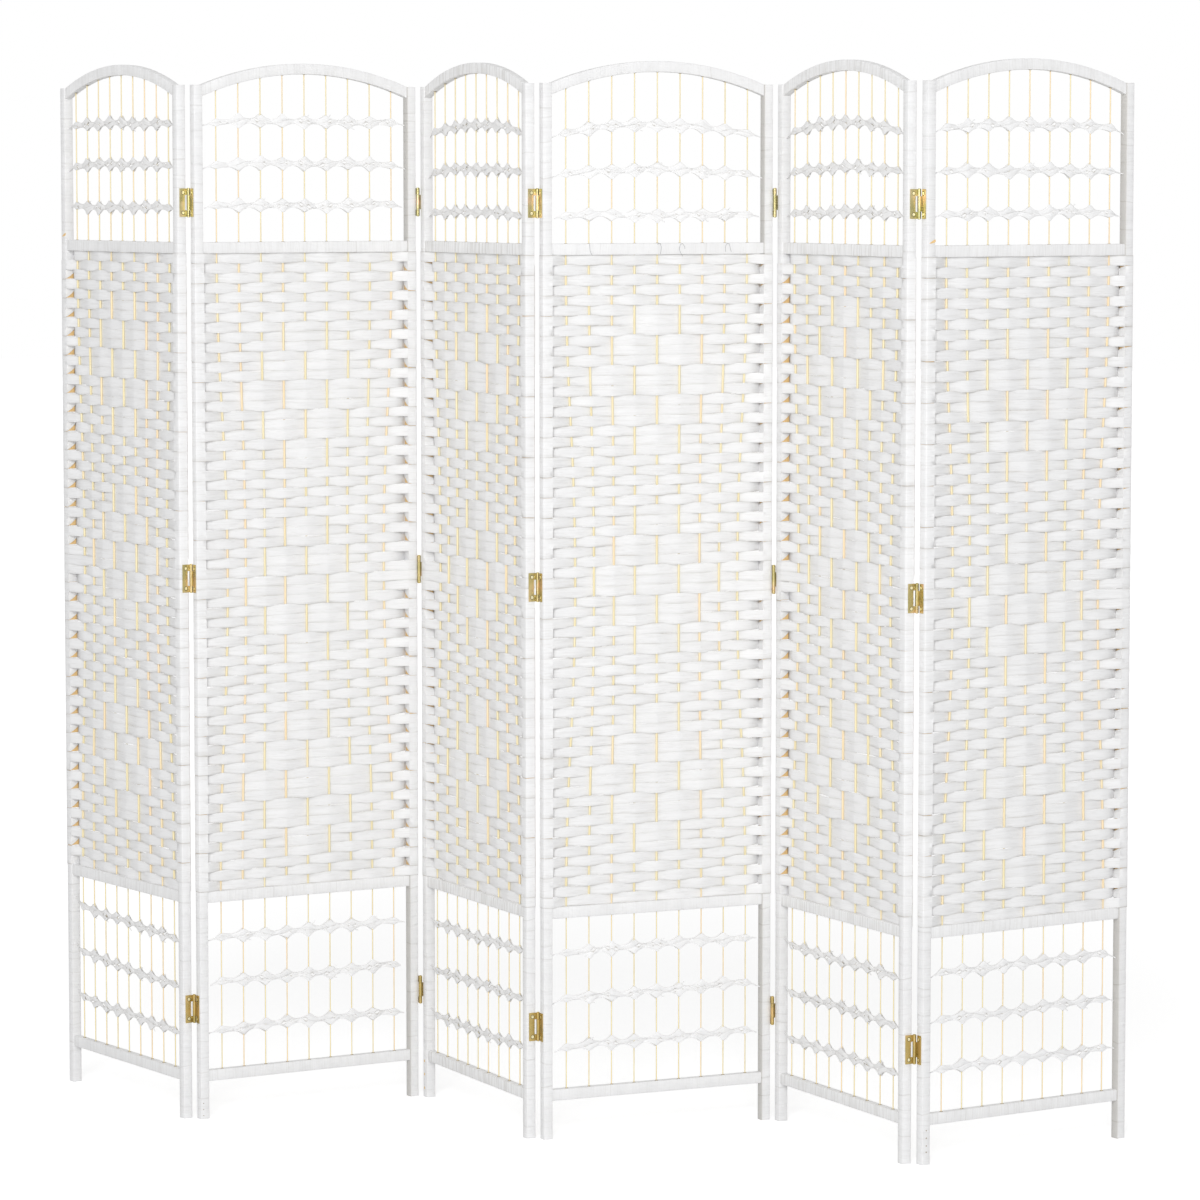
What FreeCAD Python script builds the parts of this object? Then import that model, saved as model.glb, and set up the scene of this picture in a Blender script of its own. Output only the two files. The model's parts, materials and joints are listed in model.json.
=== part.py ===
"""Folding privacy screen of six equal panels, standing in a zigzag on twelve feet.

Millimetres and degrees. +Z is up, +X runs from the first panel to the last and -Y is the front.
The origin is on the floor, in the middle of the standing screen. Each panel is drawn in its own
frame first: X from its left edge to its right edge, Y from its front face to its back face.
"""
import FreeCAD, Part
import math
import os

# How the panels stand: the angle of each one from the line of the screen
fold_headings = [-40.5, 46.3, -47.9, 40.4, -46.7, 48.6]
panel_width = 400.0

# Frame bars
stile_width = 15.5
stile_thickness = 16.0
stile_height = 1665.0
rail_height = 18.0
rail_thickness = 13.0
arch_rise = 35.0
arch_depth = 17.0
tenon_length = 8.0
tenon_height = 8.0
tenon_thickness = 6.0
tenon_clearance = 0.1

# Heights of the rails: two from the floor and one down from the top of the stiles
bottom_rail_top = 79.0
lower_rail_top = 370.0
upper_rail_drop = 250.0

# Warp rods: the margin is from a stile to the middle of the nearest rod, and the bow is how far
# the tight weave draws the outer rods inward, halfway up the mat
rod_count = 9
rod_diameter = 4.0
rod_margin = 26.5
rod_bow = 16.0
rod_seat = 10.0
rod_clearance = 0.25

# Woven mat between the upper and the lower rail
mat_thickness = 7.0

# Twisted bands, set evenly about the middle of the open light that they cross: the bow is how far
# a band's middle stands above its ends, from the lowest band of a light to the highest
low_band_bows = [0.0, 0.0, 0.0]
top_band_bows = [3.0, 7.0, 16.0]
low_band_pitch = 76.0
top_band_pitch = 66.0
band_thickness = 7.0
band_waist = 11.0
band_flare = 24.0
band_flare_width = 20.0
band_tail = 4.0
band_tail_length = 14.0

# Butt hinges: heights of their middles, two from the floor and one down from the top of the stiles
low_hinge_height = 179.0
middle_hinge_height = 877.0
top_hinge_drop = 187.0
hinge_length = 45.0
leaf_depth = 12.0
leaf_thickness = 1.2
leaf_gap = 0.6
leaf_notch = 3.0
knuckle_diameter = 6.0
end_knuckle_length = 10.5
knuckle_gap = 0.3
barrel_clearance = 0.5
pin_diameter = 2.4
pin_clearance = 0.06
pin_head_diameter = 3.8
pin_head_height = 1.0

# Countersunk screws, two in each leaf
screw_diameter = 2.4
screw_length = 11.0
screw_head_diameter = 5.0
screw_head_height = 1.1
screw_inset = 6.5
screw_clearance = 0.05
screw_slot_width = 0.7
screw_slot_depth = 0.4
pilot_end_gap = 0.5

# Sizes that follow from the driving dimensions
panel_count = len(fold_headings)
middle_depth = stile_thickness / 2
inner_left = stile_width
inner_right = panel_width - stile_width
panel_middle = panel_width / 2
upper_rail_top = stile_height - upper_rail_drop
rail_tops = [bottom_rail_top, lower_rail_top, upper_rail_top]
mat_bottom = lower_rail_top
mat_top = upper_rail_top - rail_height
rod_pitch = (inner_right - inner_left - 2 * rod_margin) / (rod_count - 1)
rod_places = [inner_left + rod_margin + rod_pitch * index for index in range(rod_count)]
rod_hole_radius = rod_diameter / 2 + rod_clearance

# The arch is a ring sector: both its arcs share a centre on the panel's middle line
arch_half_span = (inner_right - inner_left) / 2
arch_outer_radius = (arch_half_span ** 2 + arch_rise ** 2) / (2 * arch_rise)
arch_inner_radius = arch_outer_radius - arch_depth
arch_centre_height = stile_height + arch_rise - arch_outer_radius

# A hinge's pin stands clear of the edge and of the face that it folds towards
pin_from_edge = leaf_thickness + leaf_gap / 2
pin_from_face = knuckle_diameter / 2 + barrel_clearance
hinge_heights = [low_hinge_height, middle_hinge_height, stile_height - top_hinge_drop]
middle_knuckle_low = end_knuckle_length + knuckle_gap
screw_rise = hinge_length / 2 - screw_inset
screw_from_pin = pin_from_face + leaf_depth / 2

up = FreeCAD.Vector(0, 0, 1)


def box_between(first, second):
    """Box between two opposite corners, given in any order."""
    low = [min(pair) for pair in zip(first, second)]
    high = [max(pair) for pair in zip(first, second)]
    sides = [top - bottom for bottom, top in zip(low, high)]
    return Part.makeBox(*sides, FreeCAD.Vector(*low))


def upright_cylinder(radius, x, y, bottom, top):
    """Cylinder along Z between two heights."""
    return Part.makeCylinder(radius, top - bottom, FreeCAD.Vector(x, y, bottom))


def arch_underside(x):
    """Height of the arch's lower arc at a place across the panel."""
    return arch_centre_height + math.sqrt(arch_inner_radius ** 2 - (x - panel_middle) ** 2)


def arch_tenon_height():
    """Height of the middle of the arch's end, where its tenon sits."""
    return (arch_underside(inner_left) + stile_height) / 2


def rod_top(x):
    """Height of a rod's upper end, seated in the arch."""
    return arch_underside(x) + rod_seat


def rod_bottom():
    """Height of a rod's lower end, seated in the bottom rail."""
    return bottom_rail_top - rod_seat


def rod_holes(x_places, bottom, top_at):
    """Clearance cylinders for the rods, up to a height that may differ from rod to rod."""
    return [upright_cylinder(rod_hole_radius, x, middle_depth, bottom, top_at(x)) for x in x_places]


def tenon_bar(start, end, height, grow=0.0):
    """Bar of the tenon's section between two places across the panel, grown for a mortise."""
    half_thickness = tenon_thickness / 2 + grow
    half_height = tenon_height / 2 + grow
    low = (start, middle_depth - half_thickness, height - half_height)
    high = (end, middle_depth + half_thickness, height + half_height)
    return box_between(low, high)


def tenon_heights():
    """Heights of the middles of the four tenons in a stile."""
    return [top - rail_height / 2 for top in rail_tops] + [arch_tenon_height()]


def rail(top):
    """Straight rail with a tenon at each end, drilled for the rods."""
    half_thickness = rail_thickness / 2
    bottom = top - rail_height
    bar = box_between((inner_left, middle_depth - half_thickness, bottom),
                      (inner_right, middle_depth + half_thickness, top))
    core = tenon_bar(inner_left - tenon_length, inner_right + tenon_length, top - rail_height / 2)
    hole_bottom = max(bottom - rod_clearance, rod_bottom() - rod_clearance)
    holes = rod_holes(rod_places, hole_bottom, lambda x: top + rod_clearance)
    return bar.fuse(core).removeSplitter().cut(Part.makeCompound(holes))


def top_arch():
    """Bowed bar between the stiles, with an end tenon each side and blind seats for the rods."""
    front = middle_depth - rail_thickness / 2

    def point(x, height):
        return FreeCAD.Vector(x, front, height)

    low_end = arch_underside(inner_left)
    crown = stile_height + arch_rise
    high_crown = point(panel_middle, crown)
    low_crown = point(panel_middle, crown - arch_depth)
    outer = Part.Arc(point(inner_left, stile_height), high_crown, point(inner_right, stile_height))
    inner = Part.Arc(point(inner_right, low_end), low_crown, point(inner_left, low_end))
    right_end = Part.LineSegment(point(inner_right, stile_height), point(inner_right, low_end))
    left_end = Part.LineSegment(point(inner_left, low_end), point(inner_left, stile_height))
    outline = Part.Wire([curve.toShape() for curve in (outer, right_end, inner, left_end)])
    bar = Part.Face(outline).extrude(FreeCAD.Vector(0, rail_thickness, 0))
    height = arch_tenon_height()
    left_tenon = tenon_bar(inner_left - tenon_length, inner_left + tenon_thickness, height)
    right_tenon = tenon_bar(inner_right - tenon_thickness, inner_right + tenon_length, height)
    holes = rod_holes(rod_places, mat_top, lambda x: rod_top(x) + rod_clearance)
    return bar.fuse([left_tenon, right_tenon]).removeSplitter().cut(Part.makeCompound(holes))


def rod_draw(x):
    """How far a rod is drawn towards the middle of the panel, halfway up the mat."""
    share = (x - panel_middle) / (arch_half_span - rod_margin)
    return -rod_bow * share * abs(share)


def rod_line(x, bottom, top):
    """Middle line of a rod: upright in the open lights, and bowed along the mat by arcs of one radius."""

    def point(across, height):
        return FreeCAD.Vector(across, middle_depth, height)

    draw = rod_draw(x)
    if draw == 0:
        return Part.Wire(Part.makeLine(point(x, bottom), point(x, top)))
    half = draw / 2
    rise = (mat_top - mat_bottom) / 4
    radius = (rise ** 2 + half ** 2) / (2 * half)
    half_turn = math.asin(rise / abs(radius)) / 2
    near = radius * (1 - math.cos(half_turn))
    step = abs(radius) * math.sin(half_turn)
    low = point(x + half, mat_bottom + rise)
    high = point(x + half, mat_top - rise)
    curves = [
        Part.LineSegment(point(x, bottom), point(x, mat_bottom)),
        Part.Arc(point(x, mat_bottom), point(x + near, mat_bottom + step), low),
        Part.Arc(low, point(x + draw, mat_bottom + 2 * rise), high),
        Part.Arc(high, point(x + near, mat_top - step), point(x, mat_top)),
        Part.LineSegment(point(x, mat_top), point(x, top)),
    ]
    return Part.Wire([curve.toShape() for curve in curves])


def rod_tube(radius, x, bottom, top):
    """Solid round a rod's middle line between two heights outside the mat."""
    ring = Part.Wire(Part.makeCircle(radius, FreeCAD.Vector(x, middle_depth, bottom), up))
    return rod_line(x, bottom, top).makePipeShell([ring], True, False)


def warp_rods():
    """Round rods from the bottom rail to the arch."""
    return [rod_tube(rod_diameter / 2, x, rod_bottom(), rod_top(x)) for x in rod_places]


def woven_mat():
    """Slab of the mat's outer size, with a channel for each rod."""
    half_thickness = mat_thickness / 2
    slab = box_between((inner_left, middle_depth - half_thickness, mat_bottom),
                       (inner_right, middle_depth + half_thickness, mat_top))
    low = mat_bottom - rod_clearance
    high = mat_top + rod_clearance
    channels = [rod_tube(rod_hole_radius, x, low, high) for x in rod_places]
    return slab.cut(Part.makeCompound(channels))


def light_bands(middle, pitch, bows):
    """Height and bow of each band in one open light, from the lowest up."""
    first = middle - pitch * (len(bows) - 1) / 2
    return [(first + pitch * index, bow) for index, bow in enumerate(bows)]


def band_places():
    """Height and bow of every twisted band of a panel."""
    low_middle = (bottom_rail_top + lower_rail_top - rail_height) / 2
    top_middle = (upper_rail_top + arch_underside(inner_left)) / 2
    low = light_bands(low_middle, low_band_pitch, low_band_bows)
    return low + light_bands(top_middle, top_band_pitch, top_band_bows)


def twist_band(height, bow):
    """One band: tied to the stiles by thin tails, narrow between the rods and flared along each rod."""
    front = middle_depth - band_thickness / 2
    outline = [(inner_left, band_tail), (inner_left + band_tail_length, band_tail)]
    for x in rod_places:
        outline.append((x - band_flare_width / 2, band_waist))
        outline.append((x, band_flare))
        outline.append((x + band_flare_width / 2, band_waist))
    outline.append((inner_right - band_tail_length, band_tail))
    outline.append((inner_right, band_tail))

    def point(x, offset):
        share = (x - panel_middle) / arch_half_span
        return FreeCAD.Vector(x, front, height + bow * (0.5 - share ** 2) + offset)

    points = [point(x, depth / 2) for x, depth in outline]
    points += [point(x, -depth / 2) for x, depth in reversed(outline)]
    face = Part.Face(Part.makePolygon(points + points[:1]))
    bar = face.extrude(FreeCAD.Vector(0, band_thickness, 0))
    reach = band_flare + bow
    holes = rod_holes(rod_places, height - reach, lambda x: height + reach)
    return bar.cut(Part.makeCompound(holes))


class HingeEnd:
    """Frame of one panel edge's hinges: x away from the stile and y out of the face, from the pin."""

    def __init__(self, end, face):
        self.across = 1 if end == "right" else -1
        self.out = 1 if face == "back" else -1
        edge = panel_width if end == "right" else 0.0
        surface = stile_thickness if face == "back" else 0.0
        self.pin_x = edge + self.across * pin_from_edge
        self.pin_y = surface + self.out * pin_from_face
        # The left-hand panel of a hinge carries its end knuckles, and the right-hand panel the middle one
        if end == "right":
            self.knuckles = [(0.0, end_knuckle_length), (hinge_length - end_knuckle_length, hinge_length)]
        else:
            self.knuckles = [(middle_knuckle_low, hinge_length - middle_knuckle_low)]

    def point(self, x, y, height):
        return FreeCAD.Vector(self.pin_x + self.across * x, self.pin_y + self.out * y, height)

    def box(self, low, high):
        return box_between(self.point(*low), self.point(*high))

    def inward(self):
        return FreeCAD.Vector(-self.across, 0, 0)


def screw_axis_points(end, height):
    """Where the heads of a leaf's two screws meet the leaf's outer surface."""
    surface = leaf_thickness - pin_from_edge
    return [end.point(surface, -screw_from_pin, height + side * screw_rise) for side in (-1, 1)]


def screw_body(end, start, grow=0.0):
    """Countersunk screw driven into the stile, grown for its hole."""
    shank_radius = screw_diameter / 2 + grow
    head_radius = screw_head_diameter / 2 + grow
    shank = Part.makeCylinder(shank_radius, screw_length, start, end.inward())
    head = Part.makeCone(head_radius, shank_radius, screw_head_height, start, end.inward())
    return head.fuse(shank).removeSplitter()


def hinge_screw(end, start):
    """Screw with a straight slot across its head."""
    half_slot = screw_slot_width / 2
    reach = screw_head_diameter
    low = start + FreeCAD.Vector(0, -reach, -half_slot)
    high = start + end.inward() * screw_slot_depth + FreeCAD.Vector(0, reach, half_slot)
    return screw_body(end, start).cut(box_between(low, high))


def hinge_leaf(end, height):
    """Leaf on the stile's edge, notched where the other leaf's knuckles turn, with its own round the pin."""
    inner = -pin_from_edge
    outer = inner + leaf_thickness
    bottom = height - hinge_length / 2
    notch = -pin_from_face - leaf_notch
    plate = end.box((inner, -pin_from_face - leaf_depth, bottom), (outer, notch, bottom + hinge_length))
    pieces = []
    for start, stop in end.knuckles:
        low = bottom + start
        high = bottom + stop
        pieces.append(end.box((inner, notch, low), (outer, 0, high)))
        pieces.append(upright_cylinder(knuckle_diameter / 2, end.pin_x, end.pin_y, low, high))
    bore_radius = pin_diameter / 2 + pin_clearance
    bore = upright_cylinder(bore_radius, end.pin_x, end.pin_y, bottom, bottom + hinge_length)
    holes = [screw_body(end, start, screw_clearance) for start in screw_axis_points(end, height)]
    return plate.fuse(pieces).removeSplitter().cut(Part.makeCompound([bore] + holes))


def hinge_pin(end, height):
    """Pin through all the knuckles, with a small head at each end."""
    bottom = height - hinge_length / 2
    top = bottom + hinge_length
    head_radius = pin_head_diameter / 2
    shaft = upright_cylinder(pin_diameter / 2, end.pin_x, end.pin_y, bottom, top)
    low_head = upright_cylinder(head_radius, end.pin_x, end.pin_y, bottom - pin_head_height, bottom)
    high_head = upright_cylinder(head_radius, end.pin_x, end.pin_y, top, top + pin_head_height)
    return shaft.fuse([low_head, high_head])


def pilot_holes(end):
    """Holes in the stile's edge for the screws of all three hinges."""
    radius = screw_diameter / 2 + screw_clearance
    depth = screw_length + pilot_end_gap
    starts = [start for height in hinge_heights for start in screw_axis_points(end, height)]
    return [Part.makeCylinder(radius, depth, start, end.inward()) for start in starts]


def stile(side, end):
    """Square bar with its mortises and, where a hinge is fixed to it, the pilot holes."""
    outer = 0.0 if side == "left" else panel_width
    inner = inner_left if side == "left" else inner_right
    inward = 1 if side == "left" else -1
    bar = box_between((outer, 0, 0), (inner, stile_thickness, stile_height))
    deep = inner - inward * (tenon_length + tenon_clearance)
    cuts = [tenon_bar(deep, inner + inward, height, tenon_clearance) for height in tenon_heights()]
    if end:
        cuts += pilot_holes(end)
    return bar.cut(Part.makeCompound(cuts))


def hinge_face(join):
    """Face that the panels fold towards at a join: back first, then front and back by turns."""
    return "back" if join % 2 == 0 else "front"


def panel_ends(panel):
    """Hinge frames of a panel's left and right edges, or None on the screen's two free edges."""
    left = HingeEnd("left", hinge_face(panel - 1)) if panel > 0 else None
    right = HingeEnd("right", hinge_face(panel)) if panel < panel_count - 1 else None
    return left, right


def panel_places():
    """Placement of each panel, chained from pin to pin and then centred on the origin."""
    places = [FreeCAD.Placement(FreeCAD.Vector(), FreeCAD.Rotation(up, fold_headings[0]))]
    for panel in range(1, panel_count):
        right = panel_ends(panel - 1)[1]
        left = panel_ends(panel)[0]
        pin = places[-1].multVec(right.point(0, 0, 0))
        turn = FreeCAD.Rotation(up, fold_headings[panel])
        places.append(FreeCAD.Placement(pin - turn.multVec(left.point(0, 0, 0)), turn))
    corners = [(x, y) for x in (0, panel_width) for y in (0, stile_thickness)]
    spots = [place.multVec(FreeCAD.Vector(x, y, 0)) for place in places for x, y in corners]
    middle_x = (min(spot.x for spot in spots) + max(spot.x for spot in spots)) / 2
    middle_y = (min(spot.y for spot in spots) + max(spot.y for spot in spots)) / 2
    for place in places:
        place.Base = place.Base - FreeCAD.Vector(middle_x, middle_y, 0)
    return places


def panel_nodes(panel, shared):
    """All the pieces of one panel in its own frame, by node name."""
    left, right = panel_ends(panel)
    ends = [end for end in (left, right) if end]
    leaves = [hinge_leaf(end, height) for end in ends for height in hinge_heights]
    screws = [hinge_screw(end, start) for end in ends for height in hinge_heights
              for start in screw_axis_points(end, height)]
    nodes = {"left_stile": [stile("left", left)], "right_stile": [stile("right", right)]}
    nodes.update(shared)
    nodes["hinge_leaves"] = leaves
    nodes["hinge_screws"] = screws
    if right:
        nodes["hinge_pins"] = [hinge_pin(right, height) for height in hinge_heights]
    return nodes


def write_node(name, solids, place):
    """Set a node's solids in the standing screen and write them."""
    placed = []
    for solid in solids:
        copy = solid.copy()
        copy.Placement = place.multiply(copy.Placement)
        placed.append(copy)
    valid = all(solid.isValid() for solid in placed)
    volume = sum(solid.Volume for solid in placed)
    shape = placed[0] if len(placed) == 1 else Part.makeCompound(placed)
    shape.exportStep(os.path.join("parts", name + ".step"))
    print(f"{name}: {len(placed)} solids, valid {valid}, {volume / 1000:.1f} cm3")


def main():
    os.makedirs("parts", exist_ok=True)
    shared = {
        "top_arch": [top_arch()],
        "cross_rails": [rail(top) for top in rail_tops],
        "warp_rods": warp_rods(),
        "woven_mat": [woven_mat()],
        "twist_bands": [twist_band(height, bow) for height, bow in band_places()],
    }
    for panel, place in enumerate(panel_places()):
        for name, solids in panel_nodes(panel, shared).items():
            write_node(f"{name}_{panel + 1}", solids, place)


main()
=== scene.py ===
"""Looks of the folding screen: paper-wrapped frames, woven mats, twisted bands and brass hinges.

Metres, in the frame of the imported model. Each panel is drawn in its own frame: X runs across it from
its middle line, Y from its middle plane towards its back face, and Z is the height above the floor.
"""
import json
import math

import bpy
import numpy as np
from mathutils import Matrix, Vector


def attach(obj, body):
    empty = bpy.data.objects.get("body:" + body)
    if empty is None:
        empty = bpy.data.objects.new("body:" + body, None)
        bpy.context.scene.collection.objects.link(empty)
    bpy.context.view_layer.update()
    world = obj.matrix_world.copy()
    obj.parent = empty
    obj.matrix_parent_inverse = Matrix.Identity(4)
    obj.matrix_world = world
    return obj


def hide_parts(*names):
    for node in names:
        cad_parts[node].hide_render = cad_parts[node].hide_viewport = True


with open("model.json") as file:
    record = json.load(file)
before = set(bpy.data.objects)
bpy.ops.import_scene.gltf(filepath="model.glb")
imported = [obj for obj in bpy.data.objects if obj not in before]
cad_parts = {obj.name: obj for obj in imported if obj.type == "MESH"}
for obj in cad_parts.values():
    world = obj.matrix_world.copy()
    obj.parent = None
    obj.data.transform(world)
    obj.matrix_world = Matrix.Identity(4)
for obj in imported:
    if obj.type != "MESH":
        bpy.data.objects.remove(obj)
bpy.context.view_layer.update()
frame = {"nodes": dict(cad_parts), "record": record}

# Ranges are lowest and highest value, and waves are wavelength and size.

# The screen, and the gaps by which its CAD nodes come apart into bands, rails and hinges
PANEL_COUNT = 6
ARCH_DEPTH = 0.017
CLUSTER_GAP = 0.012
HINGE_GAP = 0.1

# Tubes: what sets their fibres apart, how pale they are, and the points along and round small ones
FIBRE_STEP = 0.0137
LOW_TONE = 0.2
MIDDLE_TONE = 0.5
FEW = 6

# The least angle between two faces that makes a sharp edge, in degrees
SHARP = 50.0
SHARP_BAR = 30.0
SHARP_STRIP = 60.0

# The rods: how far the mat draws the outermost ones inward, their share of the CAD rod's radius in the
# mat and in the open lights, and the dark rims of the holes that they stand in
ROD_BOW = 0.016
ROD_IN_MAT = 0.86
ROD_IN_LIGHT = 0.5
ROD_TAPER = 0.02
ROD_SEATED = 0.004
ROD_DEPTH = 1.05
ROD_WAVE = (0.11, 0.03)
CANE_WAVE = (0.3, 0.25)
ROD_SIDES = 10
ROD_STATIONS = 90
SEAT_WIDTH = 0.0008
SEAT_HALF_HEIGHT = 0.0004
SEAT_BEVEL = 0.0001

# The weave: rows of strip in a mat, the plain rows above each panel's first diamond, the rods that show
# in each band of a diamond, the strips with the points across their front and back, and their edges'
# painted shade
ROW_COUNT = 65
PLAIN_ROWS = [4, 7, 5, 5, 4, 7]
DIAMOND_REPEAT = 20
DIAMOND_BAND = 3
DIAMOND_SHOWN = [{4, 6}, {3, 5, 7}, {2, 4, 6, 8}, {3, 5, 7}, {4, 6}]
DIAMOND_COUNT = 3
STRIP_FRONT = (-1.0, -0.91, -0.5, -0.06, 0.06, 0.5, 0.91, 1.0)
STRIP_BACK = (0.8, 0.06, -0.06, -0.8)
STRIP_FULLNESS = 1.02
STRIP_THICKNESS = 0.0005
STRIP_CROWN = 0.00012
STRIP_LIFT = 0.0001
STRIP_BEND = 0.6
STRIP_SHARES = (0.08, 0.16, 0.30, 0.44, 0.56, 0.70, 0.84, 0.92, 1.0)
STRIP_WANDER = (0.13, 0.0004)
STRIP_SLACK = (0.16, 0.0006)
STRIP_TONES = (0.2, 0.8)
PLEAT_TURNS = (4, 7, 10)
PLEAT_DEPTH = 0.00007
PLEAT_WAVE = (0.09, 1.6)
EDGE_SHADE = 0.45
EDGE_LEAST = 0.35
EDGE_MORE = 1.6
EDGE_FADE = 0.25
EDGE_WAVE = (0.14, 1.1)
OVERLAP = (0.0002, 0.0013)
OVERLAP_FADE = (0.30, 0.44)
CORNER = 0.0014
CORNER_CUT = 0.00042

# How the strips spread on the stiles: the panels where they spread up on the left stile and down on the
# right one, and for each panel's two stiles the share of the next row that they cover at the far side of
# the stile's inner face, the widest slit that they leave, and how late strips behind the stile bend back
LEFT_FANS_UP = {2, 3}
FLAP_LEFT = [(0.3, 0.7), (0.7, 0.35), (0.8, 0.7), (0.7, 0.8), (0.25, 0.7), (0.7, 0.8)]
SLITS = [(0.0006, right) for right in (0.0006, 0.0016, 0.0006, 0.0010, 0.0006, 0.0022)]
LATE_BENDS = [(2.0, 8.0), (8.0, 3.0)] * 3
SLIT_RANGE = (0.2, 1.0)
OUTER_SLIT = 0.0001
END_BEND = 0.35
END_SHARES = (0.1, 0.2, 0.35, 0.5, 0.68, 0.84, 0.94, 0.985)
END_FADE = (0.1, 0.3)
PAST_EDGE = 0.0002
FLAP_THICKNESS = 0.0006
FLAP_RANGE = (0.8, 1.2)
FLAP_HELD = 0.001
FLAP_INSET = 0.0005
FLAP_CURVE = 1.3

# The wrapping of the bars, painted shade on the inner faces of the right stiles, and the bare wood under
# the mat's strips
WRAP_STEP = 0.00012
WRAP_LIP = 0.0006
WRAP_SLOPE = 0.4
WRAP_STATION = 0.012
WRAP_LEAN = 0.09
WRAP_TONES = (0.35, 0.65)
# How dark a seam between turns can be, partly a dark joint and partly painted shade of the step
SEAM_JOINT_AND_SHADE = 0.3
BARE_INSET = 0.0006
BARE_STATIONS = 30
BAR_CORNER = 0.0016
STILE_TURNS = (0.012, 0.032)
RAIL_TURNS = (0.03, 0.11)
RAIL_STREAKS = (0.2, 0.1, 0.5, 0.0, 0.35, 0.15)
INNER_FACE_SHADE = 1.7
SHADE_CORNERS = 1.3

# The twisted bands in the open lights: their bows from the lowest band up, and how they lie on each
# panel, as lift and slant in the lower light, and lift and share of the bow in the upper light
BAND_BOWS = [0.0, 0.0, 0.0, 0.003, 0.007, 0.016]
BOW_ABOVE = 0.4
BAND_LIES = [
    (0.003, -0.012, 0.005, 0.3),
    (0.004, 0.001, 0.006, 0.3),
    (0.002, 0.004, -0.004, 1.0),
    (0.008, 0.003, -0.006, 1.0),
    (-0.002, -0.002, -0.003, 1.0),
    (0.007, 0.002, -0.004, 0.4),
]
BAND_SHIFT = 0.002
BAND_WAVE = (0.24, 0.0014)
BAND_STATIONS = 16
# Painted shade on the strands' edges and over all the bands of the odd panels
BAND_EDGE_SHADE = 0.3
BAND_SHADE = (0.0, 0.1)
BAND_REACH = 0.7
BAND_WAIST = 0.0038
BAND_PEAK = 0.0085
END_PEAK = 0.35
PEAK_REACH = 0.019
PEAK_RANGE = (0.7, 1.15)
STRAND_THICKNESS = 0.0004
STRAND_OVERLAP = 0.0003
STRAND_BOW = 0.05
STRAND_LEAN = 0.2
LEAN_WAVE = (0.06, 0.16)
STRAND_TONES = (0.25, 0.75)
OPENING_RISE = 0.0032
OPENING_HALF = 0.0024
OPENING_RANGE = (-0.2, 1.2)
OPENING_SPOTS = (0.19, 0.81)
OPENING_REACH = 0.13
# Strength of the painted shade round the rims of the openings
OPENING_RIM_SHADE = 0.8
BEHIND_WIDER = 1.3
BEHIND_FULL = 1.4
BEHIND_SLOPE = 0.7
# How wide an opening is when its rim starts to get painted shade
RIM_START = 0.7

# The ends of the bands: how far they stop short of the stiles, as mean and spread on the left and on the
# right, how they turn up or down and thin out, and the loose ends beside the rods
LEFT_SHORT = (-0.001, 0.004)
RIGHT_SHORT = (0.002, 0.005)
TAIL_DROP = 0.008
TAIL_RISE = 0.013
TAIL_RANGE = (0.4, 1.2)
TAIL_CURVE = 1.4
TAIL_CLEARANCE = 0.0006
TAIL_TAPER = 0.014
TAIL_THINNED = 0.75
TAIL_POINT = 0.003
LOOSE_SHARE = (0.1, 0.4)
LOOSE_SHIFT = 0.002
LOOSE_REACH = (0.008, 0.013)
LOOSE_RISE = (0.006, 0.0095)
LOOSE_START = 0.003
LOOSE_ARC = 0.001
LOOSE_DEPTH = (0.5, 1.1)
LOOSE_WIDTH = 0.0028
LOOSE_TAPER = 0.4
LOOSE_TILT = 0.3

# Small things: the spots up the front of a left foot, as material, inset, radius and heights; bare wedges
# of wood above the upper rail on a left stile; and the loops of thread before one panel's upper rail, in
# millimetres from a rod and from the rail's top
FOOT_SPOTS = {
    2: ("seat", 0.0045, 0.0008, (0.006, 0.016, 0.026)),
    3: ("wood", 0.0060, 0.0022, (0.015, 0.038, 0.060)),
    6: ("seat", 0.0078, 0.0011, (0.020, 0.030, 0.042, 0.054)),
}
SPOT_SIDES = 8
SPOT_PROUD = 0.00015
SPOT_DEPTH = 0.0008
BARE_WEDGES = {1: 0.004, 6: 0.002}
WEDGE_INSETS = (0.004, 0.003)
WEDGE_HALVES = (0.0004, 0.0024, 0.0016)
WEDGE_DEPTH = 0.0004
WEDGE_PROUD = 0.0002
WEDGE_SLOPE = 0.35
THREADED_PANEL = 4
THREAD_RADIUS = 0.00025
THREADS = {
    2: [(-1.8, -0.5), (-1.6, -5.0), (-1.0, -10.4), (0.9, -16.0), (3.0, -18.4)],
    5: [(-2.6, -2.0), (-0.5, -0.2), (2.4, -0.8), (4.0, -6.4), (3.4, -12.0), (2.4, -17.0)],
    6: [(1.8, -21.0), (-1.5, -16.4), (-4.4, -9.4), (-2.2, -2.4), (1.3, -0.8), (5.1, -5.4), (5.5, -9.4)],
    8: [(-1.8, -14.4), (-2.2, -6.4), (0.4, -1.4), (4.2, -1.4), (6.4, -8.4), (8.1, -14.4)],
}

# The dark ring of painted shade round each screw head
RIM_WIDTH = 0.0008
RIM_DEPTH = 0.0002
RIM_PROUD = 0.00005
RIM_STATIONS = 25

# The light: an even glow from all round, a soft lamp before the screen, and a floor whose own glow is
# less near the screen than far from it, so that it shows the screen's shadow
WHITE = (1.0, 1.0, 1.0, 1.0)
AMBIENT = 0.58
KEY_PLACE = (1.7, -8.9, 3.6)
KEY_AIM = (0.0, 0.0, 0.85)
KEY_SIZE = 4.0
KEY_POWER = 505.0
FLOOR_HALF = 30.0
FLOOR_COLOUR = (0.80, 0.80, 0.80, 1.0)
FLOOR_GLOW = (0.48, 0.62)
FLOOR_FADE = (1.5, 4.5)

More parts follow.
